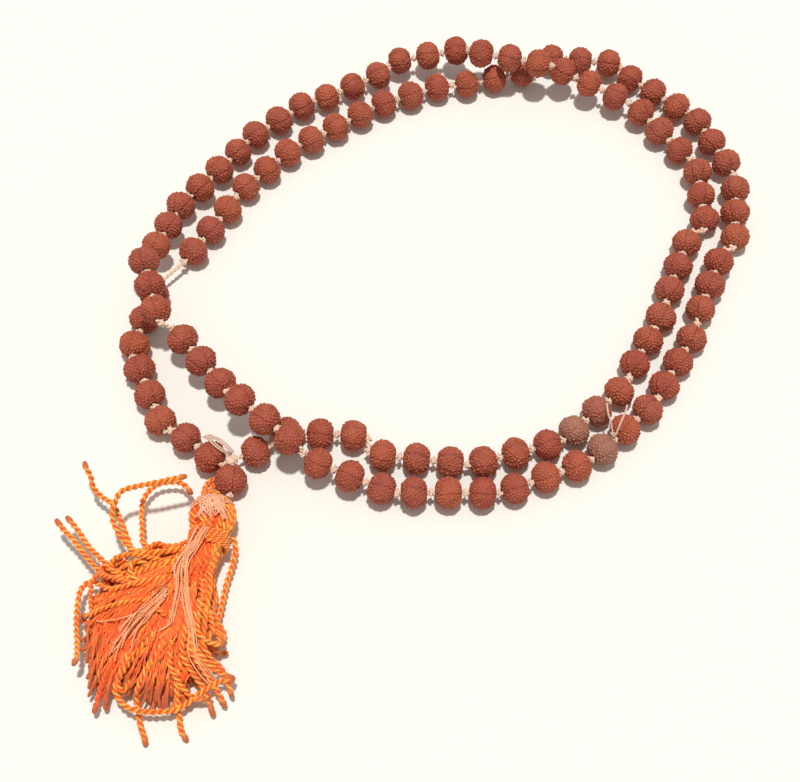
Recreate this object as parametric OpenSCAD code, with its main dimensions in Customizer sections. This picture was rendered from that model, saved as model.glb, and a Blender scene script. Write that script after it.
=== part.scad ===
// Mala: a knotted string of furrowed seed beads with a guru bead and a cord tassel.
// It lies on a flat surface, wound twice round, and its tassel rests to one side.

/* [Beads] */
// Diameter of a bead
bead_d = 8.2; // [7:0.1:8.2]
// Length of a bead along its bore
bead_len = 6.8; // [6:0.1:6.9]
// Bore through every bead
bore_d = 1.8; // [1.4:0.1:2.4]
// Distance from the middle of one bead to the next
pitch = 8.2; // [7.9:0.1:8.3]
// Number of furrows down the side of a bead
furrows = 5; // [3:1:7]
// Depth of a furrow
furrow_depth = 0.3; // [0.2:0.05:0.4]
// Diameter of the guru bead
guru_d = 8.6; // [8:0.1:8.8]
// Length of the guru bead along its bore
guru_len = 7.4; // [7:0.1:7.5]

/* [Thread] */
// Diameter of the thread that the beads are strung on
thread_d = 1; // [0.6:0.1:1.2]
// Diameter of the knot between two beads
knot_d = 2.6; // [1.8:0.1:3]
// Diameter of the knot that joins both ends of the string
join_knot_d = 3; // [2.4:0.1:3]
// Diameter of the fine thread in loops, tails and bindings
fine_d = 0.5; // [0.4:0.05:0.6]

/* [Tassel] */
// Diameter of a tassel cord
cord_d = 1.5; // [1:0.1:1.6]
// Diameter of the round head
head_d = 11.6; // [10:0.1:11.8]
// Diameter of the waist below the head
waist_d = 8; // [6:0.1:8.4]
// Distance from the tie to the foot of the waist
head_len = 14.5; // [13:0.1:14.5]
// Thickness of the thread cap wound over the head
cap_wall = 0.3; // [0.2:0.05:0.4]
// Diameter of the small ball that ties the tassel to its neck
tie_d = 2.6; // [2:0.1:2.6]

/* [Hidden] */
// Space left between pieces that almost touch
gap = 0.05;
// Height of a bead's middle where the string lies on the surface
rest_z = bead_d / 2 + 0.1;
// Middle of every straight run of beads, twice round from the join: x, y and lift
run_mid = [
  [-60.5, -35.5, 0.5], [-73.5, -20.5, 0.5], [-77, 2.5, 0], [-62, 31.5, 0], [-48, 52.5, 0],
  [-29.5, 68, 0], [-8.5, 80, 0], [15.5, 86.5, 0], [40.5, 93, 0.5], [60.5, 81, 0],
  [75, 62, 0.5], [78.5, 37, 0.5], [69, 13, 0.5], [58.5, -10.5, 0], [43.5, -30.5, 0.5],
  [23.5, -43.5, 0], [0, -48, 0.5], [-23.5, -44, 1.5], [-44, -31.5, 7], [-61, -12.5, 3.5],
  [-75, 7.5, 8], [-73, 31.5, 2], [-61, 52, 0.5], [-45.5, 70.5, 0], [-25, 83, 0.5],
  [-3.5, 93, 2.5], [19.5, 87, 7.5], [42, 81.5, 3], [61, 66, 0.5], [70, 43, 0.5],
  [61.5, 19.5, 0], [51.5, -4, 0], [37, -25, 0], [16.5, -37, 0], [-7.5, -38.5, 0],
  [-31, -31.5, 0], [-46.5, -36.5, 0]
];
run_count = len(run_mid);
// Middle of the knot that joins both ends
join_at = [-52, -39, 4.5];
// Middle of the guru bead, whose bore runs along Y
guru_at = [-52, -44.5, 4.5];
// Middle of the tie, where the tassel turns, and the way the tassel points
tie_at = [-55, -49.5, 6.2];
head_dir = [-1, -14, 0.4];
bulb_mid = 6;

// Routes of the small cords and threads
neck_route = [
  [-52.6, -39.4, 2.4], [-53.4, -40.1, 1.4], [-54.8, -41.2, 0.8], [-56.4, -42.8, 0.8],
  [-57.6, -44.2, 1], [-58, -46, 1.5], [-57.5, -47.5, 3.2], [-56, -48.5, 4.5]
];
loop_route = [
  [-52.5, -38, 5.5], [-54, -38.5, 8], [-56, -37.5, 9.2], [-57.5, -35.5, 8.2], [-59, -34, 7],
  [-58, -33.5, 6.8], [-57, -34.5, 7.6], [-55, -36, 8.8], [-53, -37.5, 7.8], [-52, -38, 6.2]
];
tail_left = [[40.2, -32.8, 6.2], [39.5, -30.5, 8.5], [39, -28, 8.5], [39, -25, 8]];
tail_right = [[40.8, -33.2, 6.6], [41.8, -31.2, 9.2], [43, -28.5, 9.2], [44, -25.5, 8]];
pale_route = [
  [-58, -60.5, 11.8], [-60, -65.5, 11.4], [-62.5, -70.5, 10.8], [-61, -76, 10.6],
  [-60, -79.5, 10.4], [-58, -83, 10], [-56, -87, 7], [-54.5, -90, 4.5]
];

// Fingers of the tassel's solid skirt: x, y and size of each tip
skirt_root = [-56.5, -69, 4.2];
finger_tips = [
  [-78.5, -72.5, 6.5], [-80.5, -80.5, 6.5], [-78.5, -91, 6], [-73.5, -92.5, 6], [-67.5, -94, 6],
  [-62.5, -94.5, 6], [-59.5, -88.5, 6], [-58, -81.5, 7], [-69.5, -78, 9.5]
];

// Cords that lie loose round the skirt, each from its root to its tip
loose_route = [
  [
    [-60, -64, 8], [-65.5, -64.5, 7], [-70.5, -64, 6], [-73.5, -63.5, 6], [-75, -60.5, 6.5],
    [-77, -56, 7], [-79, -52.5, 7], [-82, -50, 6.5], [-84, -48, 7.5], [-84.5, -46, 9],
    [-85.5, -44.5, 10.5], [-86, -43, 11]
  ],
  [
    [-60, -65, 10], [-66.5, -66, 9.8], [-71.5, -66, 9.5], [-74, -64, 9], [-76.5, -61, 10],
    [-78, -57.5, 11], [-77.5, -54.5, 12], [-76, -52, 13], [-72.5, -51, 13.5], [-69, -50.5, 14],
    [-65, -49.5, 14], [-61, -48.5, 14]
  ],
  [
    [-62, -62.5, 6], [-66, -62.5, 5.5], [-69.5, -62.5, 4.8], [-71.5, -61, 4.5], [-72, -57.5, 4.5],
    [-72.5, -54, 4.5], [-72.5, -50, 4.5], [-71, -47, 4.5], [-69, -45.5, 4.5], [-66, -45, 4.5],
    [-63.5, -45.5, 4.5], [-61, -48, 4]
  ],
  [
    [-62, -67, 9], [-68.5, -68.5, 8.6], [-73.5, -70.5, 8.2], [-77, -70, 8], [-79.5, -67.5, 8],
    [-83, -64, 8], [-86, -60, 8.5], [-89, -56.5, 9]
  ],
  [
    [-62.5, -68.5, 10.5], [-69, -70.5, 10.2], [-74, -72.5, 9], [-78, -71.5, 8], [-81, -69, 7.5],
    [-84.5, -65, 7.5], [-87, -62, 8], [-89.5, -59.5, 8], [-91.5, -57, 8.5]
  ],
  [
    [-63.5, -72.5, 10.5], [-70.5, -74, 10.8], [-77, -74.5, 8.2], [-82, -71.5, 5.6], [-84, -73, 5.8],
    [-84.5, -75, 6], [-84.5, -80, 6], [-84, -84, 6], [-83.5, -87, 6.5], [-83, -90.5, 7.5],
    [-83.5, -92.5, 7.5]
  ],
  [
    [-50.5, -59.5, 4], [-50, -61.5, 4], [-50, -64, 3.5], [-50.5, -66.5, 3], [-51.5, -70.5, 3],
    [-52, -74, 3], [-52.5, -78, 3], [-53, -81, 3], [-52, -84.5, 3.5], [-51, -86, 4]
  ],
  [
    [-62, -84.5, 9], [-64.5, -89, 9], [-67, -93, 7.8], [-69, -96.5, 5.5], [-69.5, -99, 3.5],
    [-69, -101.5, 2.5], [-68.5, -104, 2], [-67.5, -106.5, 1.5], [-67, -108.5, 1]
  ],
  [
    [-57.5, -80.5, 8.5], [-58.5, -85.5, 8], [-59.5, -90, 7.5], [-60.5, -94.5, 6.5],
    [-60.5, -98.5, 4], [-60, -102.5, 2], [-59.5, -105, 1.5], [-58, -107.5, 1]
  ],
  [
    [-66, -85.5, 9.5], [-70.5, -91, 8.6], [-73.5, -95.5, 6.5], [-74, -97.5, 5.5], [-73, -99.5, 5],
    [-70.5, -101.5, 5], [-67, -102, 4.5], [-64, -102, 4.5], [-60.5, -101.5, 4.5],
    [-57.5, -99.5, 4.5], [-55, -97.5, 5], [-52.5, -96, 5], [-51, -95, 5], [-48, -95, 5]
  ]
];
loose_count = len(loose_route);

function two_digits(k) = str(k < 10 ? "0" : "", k);
function run_name(k) = str("bead_run_", two_digits(k));
function loose_name(k) = str("loose_cord_", two_digits(k));

function unit(v) = v / norm(v);

// Middle, direction, number of beads and half length of run k; the join stands at both ends
function run_at(k) =
  k < 1 || k > run_count ? join_at
  : [run_mid[k - 1].x, run_mid[k - 1].y, rest_z + run_mid[k - 1].z];
function run_dir(k) = unit(run_at(k + 1) - run_at(k - 1));
function run_beads(k) = k == 1 ? 2 : k == run_count ? 1 : 3;
function run_half(k) = (pitch * (run_beads(k) - 1) + bead_len) / 2;
function run_end(k, side) = run_at(k) + side * (run_half(k) + gap) * run_dir(k);
function bead_at(k, i) = run_at(k) + pitch * (i - (run_beads(k) - 1) / 2) * run_dir(k);

// A point on the join knot's skin, on the side of the given point
function off_join(p) = join_at + (join_knot_d / 2 + gap) * unit(p - join_at);

// The points, eight to a ring, of a tube that follows a route
function ring(at, dir, d) =
  let (across = unit(cross(dir, [0, 0, 1])), up = cross(across, unit(dir)))
  [for (i = [0 : 7]) at + d / 2 * (cos(45 * i + 22.5) * across + sin(45 * i + 22.5) * up)];
function ahead(route, i) = route[min(i + 1, len(route) - 1)] - route[max(i - 1, 0)];
function shifted(route, by) =
  [for (i = [0 : len(route) - 1]) route[i] + by * unit(cross(ahead(route, i), [0, 0, 1]))];

module tube(route, d) {
  last = len(route) - 1;
  polyhedron(
    points = [for (i = [0 : last]) each ring(route[i], ahead(route, i), d)],
    faces = concat(
      [[for (i = [7 : -1 : 0]) i]],
      [for (j = [0 : last - 1], i = [0 : 7]) [8 * j + i, 8 * j + (i + 1) % 8, 8 * j + 8 + i]],
      [
        for (j = [0 : last - 1], i = [0 : 7])
          [8 * j + (i + 1) % 8, 8 * j + 8 + (i + 1) % 8, 8 * j + 8 + i]
      ],
      [[for (i = [0 : 7]) 8 * last + i]]
    )
  );
}

// Turns a shape's Z axis to a direction and moves it to a point
module along(at, dir) {
  translate(at) rotate([0, acos(dir.z / norm(dir)), atan2(dir.y, dir.x)]) children();
}

// A disc round Z whose whole rim is a half circle
module round_disc(d, length) {
  rotate_extrude($fn = 48) {
    intersection() {
      union() {
        translate([(d - length) / 2, 0]) circle(d = length);
        translate([0, -length / 2]) square([(d - length) / 2, length]);
      }
      translate([0, -length / 2]) square([d, length]);
    }
  }
}

module bead(d, length) {
  difference() {
    round_disc(d, length);
    cylinder(d = bore_d, h = length + 1, center = true, $fn = 24);
    for (i = [0 : furrows - 1]) {
      rotate([0, 0, 360 / furrows * i])
        translate([(d - length) / 2, 0, 0])
          rotate([90, 0, 0])
            rotate([0, 0, -80])
              rotate_extrude(angle = 160, $fn = 48)
                translate([length / 2, 0])
                  circle(r = furrow_depth, $fn = 16);
    }
  }
}

module knot(at, dir, length) {
  along(at, dir) {
    difference() {
      round_disc(knot_d, length);
      cylinder(d = thread_d + 0.2, h = length + 1, center = true, $fn = 24);
    }
  }
}

// A block that starts at a bead's end face, to trim a knot that is pressed against it
module clear_of(face, dir) {
  along(face, dir) translate([-8, -8, 0]) cube(16);
}

module bead_run(k) {
  color("sienna")
    for (i = [0 : run_beads(k) - 1])
      along(bead_at(k, i), run_dir(k)) bead(bead_d, bead_len);
}

module guru_bead() {
  color("saddlebrown") along(guru_at, [0, -1, 0]) bead(guru_d, guru_len);
}

// The whole length of the string, from the join through every run and back to the join
module strand_thread() {
  color("mistyrose")
    tube(
      concat(
        [off_join(run_end(1, -1))],
        [for (k = [1 : run_count]) each [run_end(k, -1), run_end(k, 1)]],
        [off_join(run_end(run_count, 1))]
      ),
      thread_d
    );
}

// A knot in every space between beads, and two in a space that is wide enough
module knots() {
  inner = min(1.4, pitch - bead_len - 0.2);
  color("linen") {
    for (k = [1 : run_count])
      if (run_beads(k) > 1)
        for (i = [0 : run_beads(k) - 2])
          knot((bead_at(k, i) + bead_at(k, i + 1)) / 2, run_dir(k), inner);
    for (k = [1 : run_count - 1]) {
      from = run_end(k, 1);
      to = run_end(k + 1, -1);
      space = norm(to - from);
      intersection() {
        if (space < 4) {
          knot((from + to) / 2, to - from, min(1.4, max(0.6, space - 0.2)));
        } else {
          union() {
            knot(from + unit(to - from), to - from, 1.4);
            knot(to - unit(to - from), to - from, 1.4);
          }
        }
        clear_of(from, run_dir(k));
        clear_of(to, -run_dir(k + 1));
      }
    }
  }
}

// The join knot, the thread down through the guru bead, and the stop knot below it
module join_thread() {
  below = guru_at - [0, guru_len / 2, 0];
  color("mistyrose") {
    translate(join_at) sphere(d = join_knot_d, $fn = 32);
    translate(join_at) rotate([90, 0, 0])
      cylinder(d = thread_d, h = join_at.y - below.y + 0.6, $fn = 24);
    along(below - [0, 0.6, 0], [0, -1, 0]) round_disc(2.2, 0.9);
  }
}

module thread_loops() {
  color("bisque") tube(loop_route, fine_d);
}

module thread_tails() {
  color("bisque") {
    tube(tail_left, fine_d);
    tube(tail_right, fine_d);
  }
}

// Two cords side by side, from the join under the first bead to the tie
module neck_cord() {
  color("orange")
    for (side = [-1, 1]) tube(shifted(neck_route, side * (cord_d / 2 + gap)), cord_d - 0.1);
}

module tassel_tie() {
  color("orange") translate(tie_at) sphere(d = tie_d, $fn = 32);
}

// A round head on a narrow waist, cut flat just short of the tie
module tassel_head() {
  color("orange")
    along(tie_at, head_dir)
      intersection() {
        union() {
          translate([0, 0, bulb_mid]) sphere(d = head_d, $fn = 64);
          translate([0, 0, bulb_mid]) cylinder(d = waist_d, h = head_len - bulb_mid, $fn = 48);
        }
        translate([0, 0, tie_d / 2 + 0.3]) cylinder(d = 2 * head_d, h = head_len, $fn = 48);
      }
}

// The wound cap over the head and three turns of thread round the waist
module bindings() {
  color("wheat")
    along(tie_at, head_dir) {
      translate([0, 0, bulb_mid])
        difference() {
          sphere(d = head_d + 2 * (gap + cap_wall), $fn = 64);
          sphere(d = head_d + 2 * gap, $fn = 64);
          translate([0, 0, 0]) cylinder(d = 2 * head_d, h = head_d, $fn = 48);
          translate([0, 0, -4.3 - head_d]) cylinder(d = 2 * head_d, h = head_d, $fn = 48);
        }
      for (turn = [0 : 2])
        translate([0, 0, head_len - 3 + 0.9 * turn])
          rotate_extrude($fn = 48)
            translate([waist_d / 2 + gap + 0.4, 0]) circle(d = 0.8, $fn = 16);
    }
}

// The mass of cords below the waist, resting flat on the surface
module tassel_skirt() {
  color("darkorange")
    intersection() {
      for (tip = finger_tips)
        hull() {
          translate(skirt_root) sphere(d = 8.6, $fn = 20);
          translate([tip.x, tip.y, tip.z / 2 - 0.3]) sphere(d = tip.z, $fn = 16);
        }
      translate([-95, -105, 0]) cube([50, 50, 20]);
    }
}

module pale_thread() {
  color("antiquewhite") tube(pale_route, fine_d);
}

module loose_cord(k) {
  color("orangered") tube(loose_route[k - 1], cord_d);
}

for (k = [1 : run_count]) bead_run(k);
guru_bead();
strand_thread();
knots();
join_thread();
thread_loops();
thread_tails();
neck_cord();
tassel_tie();
tassel_head();
bindings();
tassel_skirt();
pale_thread();
for (k = [1 : loose_count]) loose_cord(k);
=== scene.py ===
"""Mala: furrowed seed beads knotted on a thread, with a guru bead and a cord tassel.

Laid out as an add-on and run as a script. All lengths are in metres.
"""

import math

import bpy
import numpy as np
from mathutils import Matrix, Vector, noise


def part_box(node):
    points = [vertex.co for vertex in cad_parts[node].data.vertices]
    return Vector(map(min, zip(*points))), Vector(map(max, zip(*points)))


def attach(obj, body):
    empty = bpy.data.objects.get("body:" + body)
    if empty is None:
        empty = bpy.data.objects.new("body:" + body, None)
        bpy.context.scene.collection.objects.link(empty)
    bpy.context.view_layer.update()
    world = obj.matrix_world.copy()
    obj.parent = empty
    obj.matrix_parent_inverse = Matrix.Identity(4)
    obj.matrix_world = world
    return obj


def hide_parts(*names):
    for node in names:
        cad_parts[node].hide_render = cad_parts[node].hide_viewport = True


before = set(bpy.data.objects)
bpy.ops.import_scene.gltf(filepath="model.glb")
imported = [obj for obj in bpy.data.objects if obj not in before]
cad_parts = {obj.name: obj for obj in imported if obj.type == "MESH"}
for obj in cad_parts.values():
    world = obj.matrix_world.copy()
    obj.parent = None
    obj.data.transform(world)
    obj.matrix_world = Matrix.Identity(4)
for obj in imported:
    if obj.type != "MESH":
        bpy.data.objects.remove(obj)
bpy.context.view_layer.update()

bl_info = {
    "name": "Mala Prayer Beads",
    "version": (1, 0, 0),
    "blender": (4, 5, 0),
    "location": "3D View > Sidebar > Mala",
    "description": "Builds a string of seed beads with its thread, knots and cord tassel",
    "category": "Add Mesh",
}

# The middle of each straight run of beads, twice round from the join; the last number is the
# run's lift above beads that rest on the floor.
RUN_MIDDLES = [
    (-0.0605, -0.0355, 0.0005), (-0.0735, -0.0205, 0.0005), (-0.077, 0.0025, 0),
    (-0.062, 0.0315, 0), (-0.048, 0.0525, 0), (-0.0295, 0.068, 0), (-0.0085, 0.08, 0),
    (0.0155, 0.0865, 0), (0.0405, 0.093, 0.0005), (0.0605, 0.081, 0), (0.075, 0.062, 0.0005),
    (0.0785, 0.037, 0.0005), (0.069, 0.013, 0.0005), (0.0585, -0.0105, 0),
    (0.0435, -0.0305, 0.0005), (0.0235, -0.0435, 0), (0, -0.048, 0.0005), (-0.0235, -0.044, 0.0015),
    (-0.044, -0.0315, 0.007), (-0.061, -0.0125, 0.0035), (-0.075, 0.0075, 0.008),
    (-0.073, 0.0315, 0.002), (-0.061, 0.052, 0.0005), (-0.0455, 0.0705, 0), (-0.025, 0.083, 0.0005),
    (-0.0035, 0.093, 0.0025), (0.0195, 0.087, 0.0075), (0.042, 0.0815, 0.003),
    (0.061, 0.066, 0.0005), (0.07, 0.043, 0.0005), (0.0615, 0.0195, 0), (0.0515, -0.004, 0),
    (0.037, -0.025, 0), (0.0165, -0.037, 0), (-0.0075, -0.0385, 0), (-0.031, -0.0315, 0),
    (-0.0465, -0.0365, 0),
]

# The middle of the neck's two cords, from the join to the tie.
NECK_ROUTE = [
    (-0.0526, -0.0394, 0.0024), (-0.0534, -0.0401, 0.0014), (-0.0548, -0.0412, 0.0008),
    (-0.0564, -0.0428, 0.0008), (-0.0576, -0.0442, 0.001), (-0.058, -0.046, 0.0015),
    (-0.0575, -0.0475, 0.0032), (-0.056, -0.0485, 0.0045),
]

# The fine loop over the first bead, and the two tails of the tied spot.
LOOP_ROUTE = [
    (-0.0525, -0.038, 0.0055), (-0.054, -0.0385, 0.008), (-0.056, -0.0375, 0.0092),
    (-0.0575, -0.0355, 0.0082), (-0.059, -0.034, 0.007), (-0.058, -0.0335, 0.0068),
    (-0.057, -0.0345, 0.0076), (-0.055, -0.036, 0.0088), (-0.053, -0.0375, 0.0078),
    (-0.052, -0.038, 0.0062),
]
TAIL_LEFT = [
    (0.0402, -0.0328, 0.0062), (0.0395, -0.0305, 0.0085), (0.039, -0.028, 0.0085),
    (0.039, -0.025, 0.008),
]
TAIL_RIGHT = [
    (0.0408, -0.0332, 0.0066), (0.0418, -0.0312, 0.0092), (0.043, -0.0285, 0.0092),
    (0.044, -0.0255, 0.008),
]

# The pale thread and the cords that lie free, each from the mass to its tip.
PALE_ROUTE = [
    (-0.058, -0.0605, 0.0118), (-0.06, -0.0655, 0.0114), (-0.0625, -0.0705, 0.0108),
    (-0.061, -0.076, 0.0106), (-0.06, -0.0795, 0.0104), (-0.058, -0.083, 0.01),
    (-0.056, -0.087, 0.007), (-0.0545, -0.09, 0.0045),
]
LOOSE_ROUTES = [
    [(-0.06, -0.064, 0.008), (-0.0655, -0.0645, 0.007), (-0.0705, -0.064, 0.006),
     (-0.0735, -0.0635, 0.006), (-0.075, -0.0605, 0.0065), (-0.077, -0.056, 0.007),
     (-0.079, -0.0525, 0.007), (-0.082, -0.05, 0.0065), (-0.084, -0.048, 0.0075),
     (-0.0845, -0.046, 0.009), (-0.0855, -0.0445, 0.0105), (-0.086, -0.043, 0.011)],
    [(-0.06, -0.065, 0.01), (-0.0665, -0.066, 0.0098), (-0.0715, -0.066, 0.0095),
     (-0.074, -0.064, 0.009), (-0.0765, -0.061, 0.01), (-0.078, -0.0575, 0.011),
     (-0.0775, -0.0545, 0.012), (-0.076, -0.052, 0.013), (-0.0725, -0.051, 0.0135),
     (-0.069, -0.0505, 0.014), (-0.065, -0.0495, 0.014), (-0.061, -0.0485, 0.014)],
    [(-0.062, -0.0625, 0.006), (-0.066, -0.0625, 0.0055), (-0.0695, -0.0625, 0.0048),
     (-0.0715, -0.061, 0.0045), (-0.072, -0.0575, 0.0045), (-0.0725, -0.054, 0.0045),
     (-0.0725, -0.05, 0.0045), (-0.071, -0.047, 0.0045), (-0.069, -0.0455, 0.0045),
     (-0.066, -0.045, 0.0045), (-0.0635, -0.0455, 0.0045), (-0.061, -0.048, 0.004)],
    [(-0.062, -0.067, 0.009), (-0.0685, -0.0685, 0.0086), (-0.0735, -0.0705, 0.0082),
     (-0.077, -0.07, 0.008), (-0.0795, -0.0675, 0.008), (-0.083, -0.064, 0.008),
     (-0.086, -0.06, 0.0085), (-0.089, -0.0565, 0.009)],
    [(-0.0625, -0.0685, 0.0105), (-0.069, -0.0705, 0.0102), (-0.074, -0.0725, 0.009),
     (-0.078, -0.0715, 0.008), (-0.081, -0.069, 0.0075), (-0.0845, -0.065, 0.0075),
     (-0.087, -0.062, 0.008), (-0.0895, -0.0595, 0.008), (-0.0915, -0.057, 0.0085)],
    [(-0.0635, -0.0725, 0.0105), (-0.0705, -0.074, 0.0108), (-0.077, -0.0745, 0.0082),
     (-0.082, -0.0715, 0.0056), (-0.084, -0.073, 0.0058), (-0.0845, -0.075, 0.006),
     (-0.0845, -0.08, 0.006), (-0.084, -0.084, 0.006), (-0.0835, -0.087, 0.0065),
     (-0.083, -0.0905, 0.0075), (-0.0835, -0.0925, 0.0075)],
    [(-0.0505, -0.0595, 0.004), (-0.05, -0.0615, 0.004), (-0.05, -0.064, 0.0035),
     (-0.0505, -0.0665, 0.003), (-0.0515, -0.0705, 0.003), (-0.052, -0.074, 0.003),
     (-0.0525, -0.078, 0.003), (-0.053, -0.081, 0.003), (-0.052, -0.0845, 0.0035),
     (-0.051, -0.086, 0.004)],
    [(-0.062, -0.0845, 0.009), (-0.0645, -0.089, 0.009), (-0.067, -0.093, 0.0078),
     (-0.069, -0.0965, 0.0055), (-0.0695, -0.099, 0.0035), (-0.069, -0.1015, 0.0025),
     (-0.0685, -0.104, 0.002), (-0.0675, -0.1065, 0.0015), (-0.067, -0.1085, 0.001)],
    [(-0.0575, -0.0805, 0.0085), (-0.0585, -0.0855, 0.008), (-0.0595, -0.09, 0.0075),
     (-0.0605, -0.0945, 0.0065), (-0.0605, -0.0985, 0.004), (-0.06, -0.1025, 0.002),
     (-0.0595, -0.105, 0.0015), (-0.058, -0.1075, 0.001)],
    [(-0.066, -0.0855, 0.0095), (-0.0705, -0.091, 0.0086), (-0.0735, -0.0955, 0.0065),
     (-0.074, -0.0975, 0.0055), (-0.073, -0.0995, 0.005), (-0.0705, -0.1015, 0.005),
     (-0.067, -0.102, 0.0045), (-0.064, -0.102, 0.0045), (-0.0605, -0.1015, 0.0045),
     (-0.0575, -0.0995, 0.0045), (-0.055, -0.0975, 0.005), (-0.0525, -0.096, 0.005),
     (-0.051, -0.095, 0.005), (-0.048, -0.095, 0.005)],
]

# Lines along the top of the mass of tassel cords, from waist to tips, left to right.
MASS_GUIDES = [
    [(-0.057, -0.06, 0.009), (-0.061, -0.064, 0.009), (-0.0655, -0.0645, 0.008),
     (-0.07, -0.065, 0.0075), (-0.074, -0.065, 0.007), (-0.078, -0.0655, 0.005)],
    [(-0.057, -0.061, 0.0095), (-0.062, -0.066, 0.0095), (-0.0675, -0.068, 0.009),
     (-0.073, -0.07, 0.008), (-0.0785, -0.071, 0.006), (-0.081, -0.073, 0.004)],
    [(-0.057, -0.0615, 0.01), (-0.062, -0.068, 0.01), (-0.068, -0.0725, 0.0095),
     (-0.0745, -0.075, 0.008), (-0.0795, -0.0775, 0.006), (-0.082, -0.08, 0.004)],
    [(-0.057, -0.062, 0.01), (-0.062, -0.0705, 0.0105), (-0.0675, -0.0765, 0.01),
     (-0.0735, -0.082, 0.0085), (-0.0785, -0.088, 0.006), (-0.08, -0.0955, 0.0035)],
    [(-0.057, -0.062, 0.01), (-0.061, -0.0715, 0.0105), (-0.0655, -0.079, 0.01),
     (-0.07, -0.087, 0.0085), (-0.0745, -0.093, 0.006), (-0.077, -0.0985, 0.003)],
    [(-0.0565, -0.0625, 0.01), (-0.0595, -0.072, 0.0105), (-0.063, -0.081, 0.01),
     (-0.0655, -0.089, 0.0085), (-0.0675, -0.094, 0.006), (-0.069, -0.098, 0.003)],
    [(-0.056, -0.0625, 0.01), (-0.0585, -0.072, 0.01), (-0.0605, -0.0805, 0.0095),
     (-0.0625, -0.089, 0.0085), (-0.064, -0.094, 0.006), (-0.065, -0.0985, 0.003)],
    [(-0.0555, -0.0625, 0.0095), (-0.057, -0.0715, 0.0095), (-0.058, -0.08, 0.009),
     (-0.059, -0.088, 0.008), (-0.06, -0.0935, 0.006), (-0.061, -0.0985, 0.003)],
    [(-0.055, -0.062, 0.009), (-0.0555, -0.07, 0.0085), (-0.056, -0.077, 0.008),
     (-0.056, -0.084, 0.0075), (-0.056, -0.0895, 0.006), (-0.055, -0.0935, 0.004)],
    [(-0.0545, -0.0615, 0.008), (-0.054, -0.068, 0.0075), (-0.054, -0.0745, 0.007),
     (-0.0545, -0.081, 0.0065), (-0.0535, -0.0855, 0.0055), (-0.0525, -0.0885, 0.004)],
]

# Single cords that loop or stick out of the mass.
STRAY_CORDS = [
    [(-0.0595, -0.0675, 0.009), (-0.065, -0.068, 0.0095), (-0.0695, -0.067, 0.0095),
     (-0.074, -0.0665, 0.0095), (-0.077, -0.0675, 0.009), (-0.077, -0.07, 0.0085),
     (-0.074, -0.072, 0.0085), (-0.07, -0.072, 0.009), (-0.066, -0.072, 0.01)],
    [(-0.0685, -0.0695, 0.01), (-0.0715, -0.0685, 0.0105), (-0.0725, -0.07, 0.0105),
     (-0.072, -0.072, 0.01), (-0.07, -0.074, 0.01)],
    [(-0.068, -0.0745, 0.0105), (-0.0725, -0.074, 0.0105), (-0.0765, -0.0725, 0.01),
     (-0.08, -0.0715, 0.009), (-0.0815, -0.073, 0.008), (-0.0815, -0.0765, 0.007),
     (-0.081, -0.08, 0.0055), (-0.08, -0.0835, 0.0045)],
    [(-0.0675, -0.078, 0.0105), (-0.073, -0.0785, 0.01), (-0.078, -0.0795, 0.009),
     (-0.081, -0.0805, 0.0075), (-0.0835, -0.08, 0.006)],
    [(-0.0565, -0.0775, 0.0095), (-0.0565, -0.084, 0.0095), (-0.0555, -0.0865, 0.009),
     (-0.053, -0.0875, 0.008), (-0.0505, -0.0875, 0.007)],
    [(-0.057, -0.0805, 0.01), (-0.0575, -0.0875, 0.0095), (-0.0555, -0.0905, 0.0085),
     (-0.0525, -0.093, 0.007), (-0.05, -0.094, 0.0055), (-0.048, -0.0945, 0.0045)],
    [(-0.0575, -0.083, 0.01), (-0.058, -0.0885, 0.0095), (-0.056, -0.092, 0.008),
     (-0.0535, -0.095, 0.006), (-0.0515, -0.0975, 0.004), (-0.05, -0.1, 0.002)],
    [(-0.059, -0.084, 0.01), (-0.0595, -0.09, 0.009), (-0.0575, -0.0935, 0.0075),
     (-0.055, -0.0965, 0.005), (-0.0535, -0.0995, 0.003), (-0.0525, -0.102, 0.0015)],
    [(-0.055, -0.0825, 0.009), (-0.055, -0.088, 0.0085), (-0.053, -0.091, 0.007),
     (-0.051, -0.0925, 0.006), (-0.0495, -0.0955, 0.0045), (-0.0485, -0.098, 0.003)],
    [(-0.062, -0.0875, 0.01), (-0.062, -0.0925, 0.0085), (-0.06, -0.096, 0.0065),
     (-0.0575, -0.0985, 0.005), (-0.055, -0.099, 0.004), (-0.053, -0.098, 0.0035)],
    [(-0.071, -0.0895, 0.009), (-0.0725, -0.093, 0.008), (-0.0735, -0.0955, 0.007),
     (-0.0725, -0.0975, 0.0055), (-0.0715, -0.0955, 0.005), (-0.072, -0.0935, 0.006)],
    [(-0.061, -0.0785, 0.011), (-0.063, -0.082, 0.011), (-0.0645, -0.0815, 0.0115),
     (-0.067, -0.0785, 0.0115), (-0.0655, -0.076, 0.0115), (-0.0635, -0.0755, 0.011)],
]

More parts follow.
